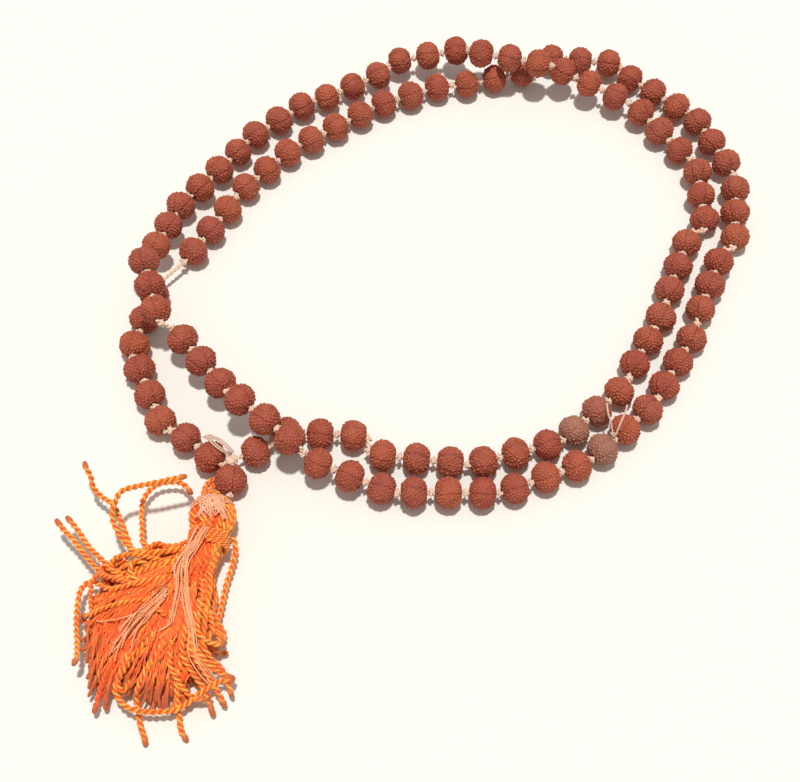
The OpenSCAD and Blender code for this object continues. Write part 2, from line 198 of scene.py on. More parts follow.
# Fans of fine pale threads over the mass.
PALE_FANS = [
    [(-0.056, -0.061, 0.012), (-0.058, -0.0655, 0.012), (-0.06, -0.069, 0.012),
     (-0.06, -0.074, 0.012), (-0.059, -0.08, 0.0115), (-0.058, -0.0855, 0.0105),
     (-0.057, -0.0905, 0.009), (-0.0545, -0.094, 0.007), (-0.053, -0.096, 0.005)],
    [(-0.0565, -0.0615, 0.012), (-0.059, -0.0665, 0.012), (-0.061, -0.071, 0.012),
     (-0.061, -0.0765, 0.012), (-0.0615, -0.0815, 0.0115), (-0.062, -0.0845, 0.011),
     (-0.0645, -0.086, 0.0105)],
    [(-0.064, -0.0765, 0.0125), (-0.0665, -0.08, 0.012), (-0.0695, -0.0815, 0.0115),
     (-0.074, -0.0825, 0.0105), (-0.079, -0.0825, 0.009), (-0.0815, -0.082, 0.0075)],
    [(-0.0635, -0.077, 0.0125), (-0.067, -0.0805, 0.012), (-0.07, -0.083, 0.011),
     (-0.073, -0.0865, 0.01), (-0.0755, -0.089, 0.0085)],
    [(-0.065, -0.078, 0.0125), (-0.068, -0.082, 0.012), (-0.0705, -0.0855, 0.011),
     (-0.0725, -0.089, 0.0095), (-0.0735, -0.092, 0.0075)],
]

JOIN = np.array((-0.052, -0.039, 0.0045))
TARGET = Vector((-0.0115, -0.0165, 0.0))
UP = np.array((0.0, 0.0, 1.0))

# How dusty the bleached beads are, by run and place in the run.
DUSTY_BEADS = {(15, 2): 0.9, (33, 2): 0.85, (33, 1): 0.4}

# Distance from ring to ring along each kind of strand, and length of a turn of its plies.
CORD_RING, MASS_RING, STRING_RING, FINE_RING = 0.00026, 0.00036, 0.0004, 0.00025
STRING_TURN, KNOT_TURN, FINE_TURN = 0.0026, 0.0018, 0.0014


def middle(node):
    """The middle of a CAD node's box."""
    low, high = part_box(node)
    return (np.array(low) + np.array(high)) / 2


def unit(vector):
    """The vector's direction."""
    return vector / np.linalg.norm(vector)


GURU = middle("guru_bead")
TIE = middle("tassel_tie")

# Directions along the tassel's head, across it and out of its top.
HEAD_WAY = np.array((-1.0, -14.0, 0.4)) / math.hypot(1.0, 14.0, 0.4)
HEAD_SIDE = unit(np.cross(HEAD_WAY, UP))
HEAD_UP = np.cross(HEAD_SIDE, HEAD_WAY)


def length_setting(label, text, value, low, high):
    """A length that a user may change."""
    return bpy.props.FloatProperty(
        name=label, description=text, default=value, min=low, max=high,
        precision=4, subtype="DISTANCE", unit="LENGTH",
    )


def colour_setting(label, text, value):
    """A colour that a user may change."""
    return bpy.props.FloatVectorProperty(
        name=label, description=text, default=(*value, 1.0), size=4, min=0.0, max=1.0,
        subtype="COLOR",
    )


class BeadSettings(bpy.types.PropertyGroup):
    diameter: length_setting("Diameter", "Diameter of a bead", 0.0082, 0.006, 0.0082)
    length: length_setting("Length", "Length of a bead along its bore", 0.0068, 0.005, 0.0069)
    bore: length_setting("Bore", "Diameter of the hole through a bead", 0.0018, 0.0014, 0.0024)
    pitch: length_setting("Pitch", "Distance from bead to bead", 0.0082, 0.0078, 0.0084)
    guru_diameter: length_setting("Guru Diameter", "Diameter of the guru bead", 0.0086, 0.008, 0.0088)
    guru_length: length_setting("Guru Length", "Length of the guru bead", 0.0074, 0.007, 0.0076)
    relief: length_setting("Relief", "Height of the shell's tubercles", 0.00045, 0.0001, 0.0006)
    furrows: bpy.props.IntProperty(
        name="Furrows", description="Furrows that run from end to end", default=5, min=3, max=7)
    tubercles: bpy.props.IntProperty(
        name="Tubercles", description="Tubercles on one bead", default=230, min=60, max=500)
    shell: colour_setting("Shell", "Colour of the shell", (0.42, 0.088, 0.044))
    # Painted highlight on the tops of the tubercles.
    crest_highlight: colour_setting("Crest", "Colour of the rubbed tubercles", (0.60, 0.145, 0.066))
    # Painted shade in the hollows between the tubercles.
    hollow_shade: colour_setting("Hollow", "Colour between the tubercles", (0.20, 0.032, 0.020))
    dust: colour_setting("Dust", "Colour of a dusty, bleached shell", (0.40, 0.21, 0.15))


class ThreadSettings(bpy.types.PropertyGroup):
    diameter: length_setting("Diameter", "Diameter of the bead thread", 0.0012, 0.0006, 0.0013)
    knot: length_setting("Knot", "Diameter of a knot between beads", 0.0026, 0.0018, 0.003)
    join: length_setting("Join Knot", "Diameter of the knot at the join", 0.003, 0.0024, 0.003)
    fine: length_setting("Fine Thread", "Diameter of the fine thread", 0.0005, 0.0004, 0.0006)
    colour: colour_setting("Thread", "Colour of the bead thread", (0.95, 0.74, 0.58))
    shade: colour_setting("Thread Shade", "Colour between its plies", (0.74, 0.44, 0.31))
    fine_colour: colour_setting("Fine Thread Colour", "Colour of the fine thread", (0.95, 0.62, 0.42))


class TasselSettings(bpy.types.PropertyGroup):
    cord: length_setting("Cord", "Diameter of a two-ply cord", 0.0015, 0.001, 0.0016)
    turn: length_setting("Turn", "Length of one turn of the plies", 0.0031, 0.002, 0.006)
    head: length_setting("Head", "Diameter of the head", 0.0116, 0.01, 0.0118)
    waist: length_setting("Waist", "Diameter of the waist", 0.008, 0.006, 0.0084)
    cords: bpy.props.IntProperty(
        name="Cords", description="Cords in the mass below the waist", default=134, min=20, max=160)
    orange: colour_setting("Orange", "Colour of a cord", (0.96, 0.20, 0.022))
    # Painted highlight on the crests of the plies.
    gold_highlight: colour_setting("Gold", "Colour where the plies shine", (1.0, 0.52, 0.07))
    # Painted shade between the plies.
    groove_shade: colour_setting("Deep", "Colour between the plies", (0.86, 0.10, 0.012))
    fused: colour_setting("Fused", "Colour of the melted tips", (0.55, 0.11, 0.025))


class StageSettings(bpy.types.PropertyGroup):
    floor: colour_setting("Floor", "Colour of the floor", (0.90, 0.90, 0.85))
    lens: bpy.props.FloatProperty(
        name="Lens", description="Focal length on a 36 mm sensor", default=66.06, min=20, max=200)
    distance: length_setting("Distance", "Distance of the camera", 0.3699, 0.2, 2.0)
    elevation: bpy.props.FloatProperty(
        name="Elevation", description="Height of the view above the floor",
        default=math.radians(58), min=0, max=math.pi / 2, subtype="ANGLE")
    key: bpy.props.FloatProperty(
        name="Key", description="Strength of the light overhead", default=2.5, min=0, max=20)
    fill: bpy.props.FloatProperty(
        name="Fill", description="Strength of the light from all round", default=0.39, min=0, max=5)


# Shader nodes


class Signal:
    """A node's output; arithmetic on it adds Math nodes to its finish."""

    def __init__(self, finish, output):
        self.finish, self.output = finish, output

    def math(self, operation, first, second=0.0):
        return self.finish.node("Math", {"operation": operation}, {0: first, 1: second})

    def __add__(self, other):
        return self.math("ADD", self, other)

    def __sub__(self, other):
        return self.math("SUBTRACT", self, other)

    def __rsub__(self, other):
        return self.math("SUBTRACT", other, self)

    def __mul__(self, other):
        return self.math("MULTIPLY", self, other)

    __radd__ = __add__
    __rmul__ = __mul__

    def clipped(self):
        return self.math("MINIMUM", self.math("MAXIMUM", self, 0.0), 1.0)


class Finish:
    """One material's nodes, ending in a Principled shader."""

    def __init__(self, name):
        self.material = bpy.data.materials.new(name)
        self.material.use_nodes = True
        self.tree = self.material.node_tree
        self.tree.nodes.clear()

    def node(self, kind, settings=None, sockets=None, output=0):
        """Adds a node with its settings, then its sockets' values or links."""
        made = self.tree.nodes.new("ShaderNode" + kind)
        for name, value in (settings or {}).items():
            setattr(made, name, value)
        for name, value in (sockets or {}).items():
            if isinstance(value, Signal):
                self.tree.links.new(value.output, made.inputs[name])
            else:
                made.inputs[name].default_value = value
        return Signal(self, made.outputs[output]) if made.outputs else None

    def value(self, name):
        """A number stored on the mesh for each point."""
        return self.node("Attribute", {"attribute_name": name}, output="Fac")

    def speckle(self, scale, detail=3.0):
        """Noise with so many spots to the metre."""
        place = self.node("TexCoord", output="Object")
        return self.node(
            "TexNoise", None, {"Vector": place, "Scale": scale, "Detail": detail}, output="Fac")

    def mix(self, factor, first, second):
        """Blends two colours; 0, 6, 7 and 2 are the Mix node's colour sockets."""
        return self.node(
            "Mix", {"data_type": "RGBA"}, {0: factor, 6: first, 7: second}, output=2)

    def finished(self, height=None, depth=0.0001, strength=0.6, **sockets):
        """Joins colour, roughness and an optional bump to the shader and returns the material."""
        inputs = {name.replace("_", " "): value for name, value in sockets.items()}
        if height is not None:
            inputs["Normal"] = self.node(
                "Bump", None, {"Strength": strength, "Distance": depth, "Height": height})
        shader = self.node("BsdfPrincipled", None, inputs)
        self.node("OutputMaterial", None, {"Surface": shader})
        return self.material


def shell_finish(beads):
    """Dry seed shell: painted shade in the hollows, painted highlight on the crests, each bead with a
    tint of its own.
    """
    make = Finish("seed_shell")
    relief, tint, dust = make.value("relief"), make.value("tint"), make.value("dust")
    mottle, grain = make.speckle(450.0), make.speckle(2600.0, 4.0)
    # Painted shade: low places between the tubercles darken towards the hollow colour.
    low = make.mix((relief * 2.4 + 0.1).clipped(), tuple(beads.hollow_shade), tuple(beads.shell))
    # Painted highlight: the tops of the tubercles, broken up by the mottle, lighten towards the crest
    # colour.
    high = make.mix(((relief - 0.45) * 1.9 + (mottle - 0.5) * 0.9).clipped(), low, tuple(beads.crest_highlight))
    red = make.mix((0.8 - tint * 1.6).clipped() * 0.4, high, (0.36, 0.05, 0.036, 1.0))
    warm = make.mix((tint * 1.8 - 1.1).clipped() * 0.35, red, (0.62, 0.15, 0.055, 1.0))
    worn = make.mix((dust * (0.55 + relief * 0.5)).clipped(), warm, tuple(beads.dust))
    speckled = make.mix((grain - 0.52).clipped() * 2.0, worn, (0.05, 0.01, 0.008, 1.0))
    return make.finished(
        height=grain * 0.6 + mottle * 0.4, depth=0.00012, strength=0.5,
        Base_Color=speckled, Roughness=0.44 + mottle * 0.25 + (1 - relief) * 0.15,
        Specular_IOR_Level=0.4)


def thread_finish(name, colour, shade):
    """Twisted cotton: light on the plies' crests, shaded between them, with loose fibres."""
    make = Finish(name)
    relief = make.value("relief")
    fibres = make.speckle(3200.0, 2.0)
    patches = make.speckle(180.0, 2.0)
    plain = make.mix((relief * 1.25 - 0.2).clipped(), shade, colour)
    soiled = make.mix((patches - 0.5).clipped() * 1.2, plain, shade)
    return make.finished(
        height=fibres, depth=0.00006, strength=0.5,
        Base_Color=make.mix((fibres - 0.55).clipped() * 1.6, soiled, shade),
        Roughness=0.72 + fibres * 0.2, Sheen_Weight=0.25, Sheen_Roughness=0.5)


def cord_finish(tassel, name, gold_highlight=1.0, lighter_grooves=0.0):
    """Glossy two-ply cord: painted gold highlight on the crests, orange flanks, painted shade in the
    grooves and melted tips.
    """
    make = Finish(name)
    relief, tip, tint = make.value("relief"), make.value("tip"), make.value("tint")
    fibres, patches = make.speckle(3000.0, 2.0), make.speckle(260.0, 2.0)
    # Painted shade: the grooves between the plies darken towards this colour; the last argument
    # lightens them.
    body = make.mix((relief * 1.6 - 0.35 + lighter_grooves).clipped(), tuple(tassel.groove_shade), tuple(tassel.orange))
    # Painted highlight: gold on the plies' crests, stronger on golden-tinted cords and in patches; the
    # third argument scales it.
    shine = (relief * 2.2 - 1.5 + (patches - 0.5) * 1.4 + (tint - 0.5) * 1.0).clipped() * gold_highlight
    ruddy = make.mix((0.75 - tint * 1.5).clipped() * 0.8, body, (0.98, 0.10, 0.015, 1.0))
    bright = make.mix(shine, ruddy, tuple(tassel.gold_highlight))
    ends = make.mix((tip * 0.9).clipped(), bright, tuple(tassel.fused))
    return make.finished(
        height=fibres, depth=0.00006, strength=0.45,
        Base_Color=make.mix((fibres - 0.58).clipped() * 1.2, ends, tuple(tassel.groove_shade)),
        Roughness=0.42 + fibres * 0.25, Sheen_Weight=0.2, Sheen_Roughness=0.4)


def floor_finish(stage):
    """Plain pale paper with faint clouds."""
    make = Finish("floor_paper")
    cloud = make.speckle(3.0, 2.0)
    shade = tuple(0.96 * c for c in stage.floor[:3]) + (1.0,)
    return make.finished(Base_Color=make.mix(cloud * 0.5, tuple(stage.floor), shade), Roughness=0.9)


# Shapes


def eased(value, low, high):
    """From 0 at low to 1 at high, with soft ends."""
    part = np.clip((value - low) / (high - low), 0.0, 1.0)
    return part * part * (3.0 - 2.0 * part)


def distances(points):
    """Distance of each point from the first, along the line."""
    return np.concatenate([[0.0], np.cumsum(np.linalg.norm(np.diff(points, axis=0), axis=1))])


def smooth(route, step):
    """Points about step apart on a smooth curve through the route."""
    route = np.asarray(route, float)
    held = np.vstack([2 * route[0] - route[1], route, 2 * route[-1] - route[-2]])
    t = np.linspace(0.0, 1.0, 16, endpoint=False)[:, None]
    spans = [
        0.5 * (2 * b + (c - a) * t + (2 * a - 5 * b + 4 * c - d) * t**2
               + (3 * b - a - 3 * c + d) * t**3)
        for a, b, c, d in zip(held, held[1:], held[2:], held[3:])
    ]
    dense = np.vstack(spans + [route[-1:]])
    along = distances(dense)
    stops = np.linspace(0.0, along[-1], max(5, round(along[-1] / step) + 1))
    return np.stack([np.interp(stops, along, dense[:, i]) for i in range(3)], axis=1)


def frames(path):
    """Direction, side and up along a path, turning as little as they can."""
    way = np.gradient(path, axis=0)
    way /= np.linalg.norm(way, axis=1)[:, None]
    side = np.empty_like(path)
    start = np.cross(way[0], UP)
    side[0] = unit(start if np.linalg.norm(start) > 0.1 else np.cross(way[0], (0.0, 1.0, 0.0)))
    for i in range(1, len(path)):
        side[i] = unit(side[i - 1] - way[i] * side[i - 1].dot(way[i]))
    return way, side, np.cross(side, way)


class Form:
    """Points, faces and per-point values gathered for one mesh."""

    def __init__(self):
        self.points, self.quads, self.fans, self.values, self.count = [], [], [], {}, 0

    def add(self, points, quads, fans=(), **values):
        self.points.append(points)
        self.quads.append(np.asarray(quads) + self.count)
        if len(fans):
            self.fans.append(np.asarray(fans) + self.count)
        for name, value in values.items():
            filled = np.broadcast_to(np.asarray(value, float), (len(points),))
            self.values.setdefault(name, []).append(filled)
        self.count += len(points)

    def tube(self, path, side, up, radii, corners=7, **values):
        """A closed tube of rings round a path; radii is one number or one for each ring."""
        n = len(path)
        turn = np.arange(corners) * math.tau / corners
        radii = np.broadcast_to(np.asarray(radii, float), (n,))[:, None, None]
        rings = path[:, None] + radii * (
            np.cos(turn)[None, :, None] * side[:, None] + np.sin(turn)[None, :, None] * up[:, None])
        points = np.vstack([rings.reshape(-1, 3), path[:1], path[-1:]])
        i = (np.arange(n - 1) * corners)[:, None]
        j, k = np.arange(corners)[None], (np.arange(corners)[None] + 1) % corners
        quads = np.stack([i + j, i + corners + j, i + corners + k, i + k], axis=-1).reshape(-1, 4)
        j, k, last = j[0], k[0], (n - 1) * corners
        ends = np.vstack([
            np.stack([j, k, np.full(corners, n * corners)], axis=1),
            np.stack([last + k, last + j, np.full(corners, n * corners + 1)], axis=1)])
        spread = {}
        for name, value in values.items():
            value = np.asarray(value, float)
            if value.ndim == 2:
                spread[name] = np.concatenate([value.ravel(), value[0, :1], value[-1, :1]])
            elif value.ndim == 1:
                spread[name] = np.concatenate([np.repeat(value, corners), value[:1], value[-1:]])
            else:
                spread[name] = value
        self.add(points, quads, ends, **spread)

    def build(self, name, material, body, slot, replaced=()):
        """Makes the object, lets it ride on its body and hides the CAD nodes it stands for."""
        mesh = bpy.data.meshes.new(name)
        points, quads = np.vstack(self.points), np.vstack(self.quads)
        fans = np.vstack(self.fans) if self.fans else np.empty((0, 3), int)
        mesh.vertices.add(len(points))
        mesh.vertices.foreach_set("co", points.ravel())
        corners = np.concatenate([quads.ravel(), fans.ravel()]).astype(np.int32)
        starts = np.concatenate([np.arange(len(quads)) * 4, quads.size + np.arange(len(fans)) * 3])
        mesh.loops.add(len(corners))
        mesh.loops.foreach_set("vertex_index", corners)
        mesh.polygons.add(len(starts))
        mesh.polygons.foreach_set("loop_start", starts.astype(np.int32))
        mesh.update(calc_edges=True)
        mesh.shade_smooth()
        for label, parts in self.values.items():
            layer = mesh.attributes.new(label, "FLOAT", "POINT")
            layer.data.foreach_set("value", np.concatenate(parts))
        mesh.materials.append(material)
        piece = bpy.data.objects.new(name, mesh)
        bpy.context.scene.collection.objects.link(piece)
        if body:
            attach(piece, body)
        if replaced:
            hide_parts(*replaced)
        return piece


def twist(form, path, cord, turn, tip=0.0, start=0.0, tint=0.5, corners=7):
    """Lays two plies round a path; over the last stretch, tip, they melt into one end."""
    way, side, up = frames(path)
    along = distances(path)
    melt = eased(along, along[-1] - tip, along[-1] - 0.4 * tip) if tip else np.zeros(len(path))
    out = cord * 0.235 * (1.0 - 0.8 * melt)
    radius = cord * (0.275 + 0.17 * melt)
    taper = np.minimum(1.0, 0.55 + (along[-1] - along) / cord)
    radius = radius * taper
    bend = np.arange(corners) * math.tau / corners
    for ply in range(2):
        angle = math.tau * (along / turn + ply / 2) + start
        lean = np.cos(angle)[:, None] * side + np.sin(angle)[:, None] * up
        centre = path + out[:, None] * lean
        across = np.cos(angle[:, None] - bend[None])
        reach = np.sqrt(out[:, None] ** 2 + radius[:, None] ** 2
                        + 2 * out[:, None] * radius[:, None] * across)
        relief = np.clip(reach / (cord * 0.5), 0.0, 1.0)
        form.tube(centre, side, up, radius, corners, relief=relief, tip=melt,
                  tint=tint + 0.25 * (ply - 0.5))


def trefoil(at, way, radius, length, thread, count=44):
    """The path of an overhand knot, drawn tight round a thread that runs along way."""
    t = np.linspace(0.0, math.tau, count)
    reach = (radius - thread / 2) / 3.0
    depth = max(0.0, length - thread) / 2.0
    way = unit(np.asarray(way, float))
    side = np.cross(way, UP)
    side = unit(side) if np.linalg.norm(side) > 0.1 else np.array((1.0, 0.0, 0.0))
    up = np.cross(side, way)
    x = (np.sin(t) + 2 * np.sin(2 * t)) * reach
    y = (np.cos(t) - 2 * np.cos(2 * t)) * reach
    z = -np.sin(3 * t) * depth
    return at + x[:, None] * side + y[:, None] * up + z[:, None] * way


# The string's layout, worked out as in the CAD part


class Layout:
    """Where each run of beads lies and which way it points."""

    def __init__(self, beads):
        self.beads, self.count = beads, len(RUN_MIDDLES)
        rest = beads.diameter / 2 + 0.0001
        self.mids = [np.array((x, y, rest + lift)) for x, y, lift in RUN_MIDDLES]

    def at(self, k):
        return self.mids[k - 1] if 1 <= k <= self.count else JOIN

    def way(self, k):
        return unit(self.at(k + 1) - self.at(k - 1))

    def size(self, k):
        return {1: 2, self.count: 1}.get(k, 3)

    def end(self, k, side):
        half = (self.beads.pitch * (self.size(k) - 1) + self.beads.length) / 2
        return self.at(k) + side * half * self.way(k)

    def bead(self, k, i):
        return self.at(k) + self.beads.pitch * (i - (self.size(k) - 1) / 2) * self.way(k)


class SeedShell:
    """One bead's furrowed and knobbed shell, made once and placed many times."""

    ROWS, COLUMNS = 52, 126
    PROUD = 0.00024  # Tops of the tubercles above the plain shell
    SCATTER = 0.00013  # How far a tubercle lies from its even place
    GROOVE = 0.00038  # Width of the slope round a tubercle
    GRAIN, LUMPS = 0.00004, 0.00012  # Fine and broad unevenness
    FURROW_DEPTH, FURROW_WIDTH = 0.00022, 0.00026
    LIP = 0.00012  # Bevel at the mouth of the bore

    def __init__(self, beads, diameter, length, seed):
        rng = np.random.default_rng(seed)
        half, inset = length / 2, (diameter - length) / 2
        bore = beads.bore / 2
        steep = np.linspace(-80, 80, self.ROWS) * math.pi / 180
        lid = [(bore + self.LIP, 0.99 * half), (bore, 0.955 * half), (bore, 0.6 * half)]
        lower = [(r, -z) for r, z in reversed(lid)]
        radial = np.concatenate(
            [[r for r, _ in lower], inset + half * np.cos(steep), [r for r, _ in lid]])
        axial = np.concatenate([[z for _, z in lower], half * np.sin(steep), [z for _, z in lid]])
        rise = np.concatenate([np.full(3, -math.pi / 2), steep, np.full(3, math.pi / 2)])
        turn = np.arange(self.COLUMNS) * math.tau / self.COLUMNS
        base = self.surface(radial[:, None], axial[:, None], turn[None])
        outward = np.stack([np.cos(rise)[:, None] * np.cos(turn), np.cos(rise)[:, None] * np.sin(turn),
                            np.sin(rise)[:, None] * np.ones_like(turn)], axis=-1)
        drop = self.drop(beads, rng, base, steep, turn, inset, half)
        shallow = np.zeros(len(radial))
        shallow[3:-3] = 1.0 - 0.7 * eased(np.abs(steep), 1.2, 1.39)
        push = (self.PROUD - drop) * shallow[:, None] - 0.00005 * (1 - shallow[:, None])
        points = base + push[..., None] * outward
        squeeze = 1.0 - 0.03 * rng.random(2)
        points[..., 0] *= squeeze[0]
        points[..., 1] *= squeeze[1]
        self.points = points.reshape(-1, 3)
        self.relief = np.clip(1.0 - drop / (beads.relief * 1.6), 0.0, 1.0).ravel()
        rows, cols = len(radial), self.COLUMNS
        i, j = np.meshgrid(np.arange(rows), np.arange(cols), indexing="ij")
        below, right = (i + 1) % rows, (j + 1) % cols
        self.quads = np.stack([i * cols + j, i * cols + right, below * cols + right, below * cols + j],
                              axis=-1).reshape(-1, 4)

    @staticmethod
    def surface(radial, axial, turn):
        """Points at a distance from the bore's axis, along it and round it."""
        return np.stack([radial * np.cos(turn), radial * np.sin(turn), axial + 0 * turn], axis=-1)

    def drop(self, beads, rng, base, steep, turn, inset, half):
        """How far each point lies below the tops of the tubercles."""
        count = beads.tubercles
        lift = np.arcsin((1 - 2 * (np.arange(count) + 0.5) / count) * 0.985)
        spin = np.arange(count) * math.pi * (3 - math.sqrt(5)) + rng.random() * math.tau
        knobs = self.surface(inset + half * np.cos(lift), half * np.sin(lift), spin)
        knobs = knobs + rng.normal(0, self.SCATTER, knobs.shape)
        stretch = np.array((1.0, 1.0, 0.72))
        flat = (base * stretch).reshape(-1, 3)
        apart = np.linalg.norm(flat[:, None] - (knobs * stretch)[None], axis=2)
        order = np.argpartition(apart, 1, axis=1)[:, :2]
        near = np.take_along_axis(apart, order, axis=1)
        first = order[np.arange(len(flat)), near.argmin(axis=1)]
        gap = np.abs(near[:, 1] - near[:, 0])
        tall = rng.uniform(0.45, 1.12, count)[first]
        dome = 1.0 - np.clip(near.min(axis=1) / 0.0007, 0, 1) ** 2 * 0.35
        knob = (eased(gap, 0.0, self.GROOVE) * tall * dome).reshape(base.shape[:2])
        fine = np.array([noise.noise(Vector(p * 1600)) for p in base.reshape(-1, 3)])
        lumps = np.array([noise.noise(Vector(p * 330 + 7.3)) for p in base.reshape(-1, 3)])
        drop = beads.relief * (1.0 - knob) + self.GRAIN * fine.reshape(knob.shape)
        drop = drop + self.LUMPS * (1.0 + lumps.reshape(knob.shape))
        latitude = np.concatenate([steep[:1].repeat(3), steep, steep[-1:].repeat(3)])
        reach = np.linalg.norm(base[..., :2], axis=-1)
        for f in range(beads.furrows):
            line = (f + 0.25 * rng.random()) * math.tau / beads.furrows
            wander = 0.05 * np.sin(2.6 * latitude + rng.random() * math.tau)
            off = (turn[None] - line - wander[:, None] + math.pi) % math.tau - math.pi
            drop = drop + self.FURROW_DEPTH * np.exp(-((off * reach) / self.FURROW_WIDTH) ** 2)
        return drop

    def place(self, form, at, way, spin, scale, **values):
        """Adds this shell to a form, with its bore along way."""
        side = unit(np.cross(way, UP))
        up = np.cross(side, way)
        c, s = math.cos(spin), math.sin(spin)
        basis = np.stack([c * side + s * up, -s * side + c * up, -way])
        form.add(at + (self.points * scale) @ basis, self.quads, relief=self.relief, **values)


# Operators


class MALA_OT_stage(bpy.types.Operator):
    """Lay the floor, hang the lights and set the camera"""

    bl_idname = "mala.stage"
    bl_label = "Stage"

    FLOOR_REACH, FLOOR_LINES = 60.0, 25
    LAMP_PLACE = Vector((0.03, -0.02, 1.1))

    def execute(self, context):
        stage = context.scene.mala_stage
        self.camera(context.scene, stage)
        self.floor(stage)
        self.lights(context.scene, stage)
        return {"FINISHED"}

    def camera(self, scene, stage):
        data = bpy.data.cameras.new("camera")
        data.sensor_width, data.lens, data.clip_start = 36.0, stage.lens, 0.01
        camera = bpy.data.objects.new("camera", data)
        scene.collection.objects.link(camera)
        back = Vector((0.0, -math.cos(stage.elevation), math.sin(stage.elevation)))
        camera.location = TARGET + back * stage.distance
        camera.rotation_euler = (math.pi / 2 - stage.elevation, 0.0, 0.0)
        scene.camera = camera

    def floor(self, stage):
        form = Form()
        n = self.FLOOR_LINES
        steps = np.linspace(-self.FLOOR_REACH, self.FLOOR_REACH, n)
        x, y = np.meshgrid(steps, steps, indexing="ij")
        i, j = np.meshgrid(np.arange(n - 1), np.arange(n - 1), indexing="ij")
        quads = np.stack([i * n + j, (i + 1) * n + j, (i + 1) * n + j + 1, i * n + j + 1], axis=-1)
        form.add(np.stack([x, y, 0 * x], axis=-1).reshape(-1, 3), quads.reshape(-1, 4))
        form.build("floor", floor_finish(stage), None, None)

    def lights(self, scene, stage):
        lamp = bpy.data.lights.new("key", "SUN")
        lamp.angle, lamp.energy = math.radians(4), stage.key
        lamp.color = (1.0, 0.985, 0.94)
        key = bpy.data.objects.new("key", lamp)
        scene.collection.objects.link(key)
        key.location = TARGET + self.LAMP_PLACE
        key.rotation_euler = (TARGET - key.location).to_track_quat("-Z", "Y").to_euler()
        world = bpy.data.worlds.new("studio")
        world.use_nodes = True
        sky = world.node_tree.nodes["Background"]
        sky.inputs["Color"].default_value = (1.0, 0.99, 0.965, 1.0)
        sky.inputs["Strength"].default_value = stage.fill
        scene.world = world
        scene.view_settings.view_transform = "Standard"


class MALA_OT_loose_cords(bpy.types.Operator):
    """Lay the cords and the pale thread that lie free round the tassel"""

    bl_idname = "mala.loose_cords"
    bl_label = "Loose Cords"

    MELTED = 0.0022  # Length of a melted tip
    SHORTEST = 0.03  # Shorter cords are skipped
    STRIDE = 6  # Rings from one picked point to the next

    def execute(self, context):
        tassel, thread = context.scene.mala_tassel, context.scene.mala_thread
        cord = cord_finish(tassel, "loose_cord")
        rng = np.random.default_rng(11)
        for number, route in enumerate(LOOSE_ROUTES, 1):
            path = smooth(route, CORD_RING)
            form = Form()
            twist(form, path, tassel.cord, tassel.turn, self.MELTED, rng.random() * 6, 0.55)
            piece = form.build(f"free_cord_{number:02d}", cord, "tassel", "loose_cord",
                               [f"loose_cord_{number:02d}"])
            self.declare(piece, path, tassel.cord)
        self.pale(thread, rng)
        return {"FINISHED"}

    def declare(self, piece, path, diameter):
        """Measures a free cord's length and, if it is long enough, picks points along its path;
        neither is kept.
        """
        length = float(distances(path)[-1])
        if length < self.SHORTEST:
            return
        every = path[::self.STRIDE]
        if len(path) % self.STRIDE != 1:
            every = np.vstack([every, path[-1:]])

    def pale(self, thread, rng):
        path = smooth(PALE_ROUTE, 0.00022)
        form = Form()
        twist(form, path, thread.fine, FINE_TURN, start=rng.random())
        look = thread_finish("pale_thread", tuple(thread.fine_colour), tuple(thread.shade))
        piece = form.build("free_pale_thread", look, "tassel", "fine_thread", ["pale_thread"])
        self.declare(piece, path, thread.fine)


class MALA_OT_beads(bpy.types.Operator):
    """String the beads, each run of three as one piece"""

    bl_idname = "mala.beads"
    bl_label = "Beads"

    def execute(self, context):
        beads = context.scene.mala_beads
        layout = Layout(beads)
        look = shell_finish(beads)
        rng = np.random.default_rng(5)
        shells = [SeedShell(beads, beads.diameter, beads.length, seed) for seed in range(8)]
        for k in range(1, layout.count + 1):
            form = Form()
            for i in range(layout.size(k)):
                shell = shells[rng.integers(len(shells))]
                way = layout.way(k) * rng.choice((-1, 1))
                shell.place(form, layout.bead(k, i), way, rng.random() * math.tau,
                            rng.uniform(0.95, 1.0), tint=rng.random(),
                            dust=DUSTY_BEADS.get((k, i), 0.1 * rng.random()))
            form.build(f"seeds_{k:02d}", look, f"beads_{k:02d}", "seed_bead",
                       [f"bead_run_{k:02d}"])
        guru = Form()
        SeedShell(beads, beads.guru_diameter, beads.guru_length, 21).place(
            guru, GURU, np.array((0.0, -1.0, 0.0)), 0.4, 0.95, tint=0.25, dust=0.05)
        guru.build("guru_seed", look, "guru", "guru_seed", ["guru_bead"])
        return {"FINISHED"}


